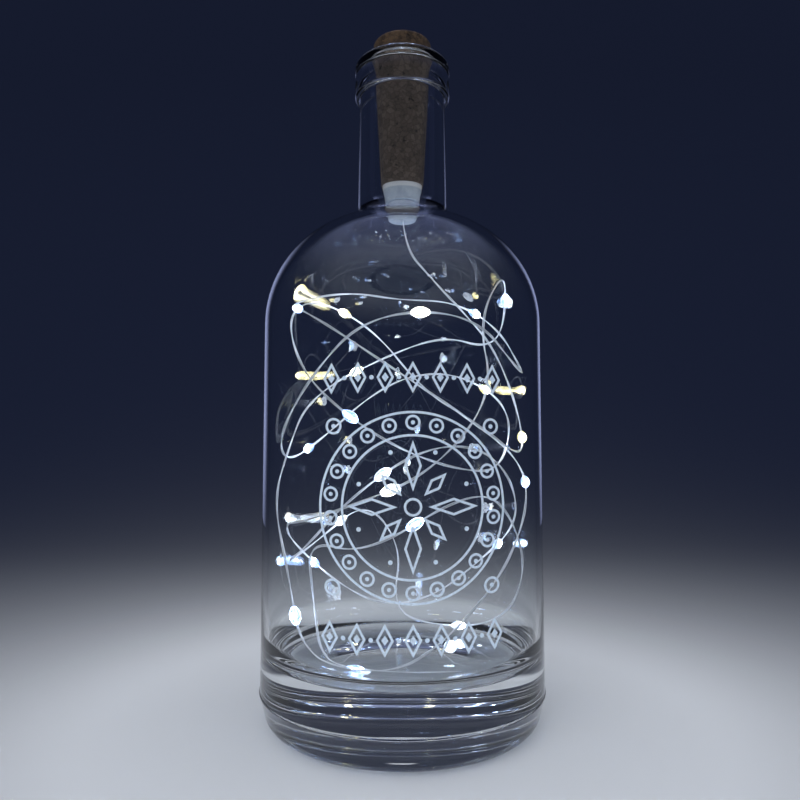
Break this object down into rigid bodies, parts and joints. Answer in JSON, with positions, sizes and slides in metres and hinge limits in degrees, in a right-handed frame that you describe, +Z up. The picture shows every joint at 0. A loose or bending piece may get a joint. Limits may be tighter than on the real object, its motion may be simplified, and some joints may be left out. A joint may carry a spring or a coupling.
{
  "type": "cork bottle light",
  "caption": "Clear glass bottle with a thick base and round shoulder, lit by a silver string of small lamps hung from a cork battery stopper with a slide switch.",
  "frame": {"origin": "centre of the ring the bottle stands on", "axes": "+Z up along the bottle's axis, -Y the front of the bottle, +X to the right seen from the front"},
  "size_m": [0.088, 0.088, 0.218],
  "materials": {
    "clear_glass": "clear flint glass, polished",
    "silver_wire": "bright silver wire",
    "clear_epoxy": "clear resin drop, lit from inside",
    "light_chip": "lit chip",
    "cork": "fine cork grain",
    "frosted_plastic": "milky clear moulding",
    "glue": "set glue",
    "board": "lacquered board",
    "resistor": "ceramic chip",
    "copper": "lacquered copper",
    "solder": "solder",
    "spring_steel": "plated spring wire",
    "nickel_strip": "nickel plate",
    "carrier_plastic": "black moulding",
    "cell_steel": "pressed steel can",
    "insulator": "laminated paper board",
    "spring_brass": "spring brass",
    "knob_plastic": "black moulding"
  },
  "bodies": {
    "bottle": {"glass_bottle": "clear_glass", "glass_neck": "clear_glass", "string_lead": "silver_wire", "string_loops": "silver_wire", "light_chips": "light_chip", "lamp_01": "clear_epoxy", "lamp_02": "clear_epoxy", "lamp_03": "clear_epoxy", "lamp_04": "clear_epoxy", "lamp_05": "clear_epoxy", "lamp_06": "clear_epoxy", "lamp_07": "clear_epoxy", "lamp_08": "clear_epoxy", "lamp_09": "clear_epoxy", "lamp_10": "clear_epoxy", "lamp_11": "clear_epoxy", "lamp_12": "clear_epoxy", "lamp_13": "clear_epoxy", "lamp_14": "clear_epoxy", "lamp_15": "clear_epoxy", "lamp_16": "clear_epoxy", "lamp_17": "clear_epoxy", "lamp_18": "clear_epoxy", "lamp_19": "clear_epoxy", "lamp_20": "clear_epoxy"},
    "stopper": {"cork_sleeve": "cork", "wire_gland": "frosted_plastic", "glue_drop": "glue", "lamp_board": "board", "series_resistor": "resistor", "inner_leads": "copper", "solder_joints": "solder", "negative_spring": "spring_steel", "strip_spring": "nickel_strip"},
    "battery_drawer": {"cork_head": "cork", "cell_carrier": "carrier_plastic", "button_cell_1": "cell_steel", "button_cell_2": "cell_steel", "button_cell_3": "cell_steel", "top_contact": "nickel_strip", "positive_strip": "nickel_strip", "switch_base": "insulator"},
    "switch_slider": {"switch_knob": "knob_plastic", "switch_wiper": "spring_brass"}
  },
  "joints": [
    {"name": "stopper_lift", "type": "slide", "parent": "bottle", "child": "stopper", "axis": [0, 0, 1], "range_m": [0, 0.06], "deforming": ["string_lead"]},
    {"name": "drawer_pull", "type": "slide", "parent": "stopper", "child": "battery_drawer", "axis": [0, 0, 1], "range_m": [0, 0.034]},
    {"name": "switch_slide", "type": "slide", "parent": "battery_drawer", "child": "switch_slider", "axis": [1, 0, 0], "range_m": [0, 0.002]}
  ]
}
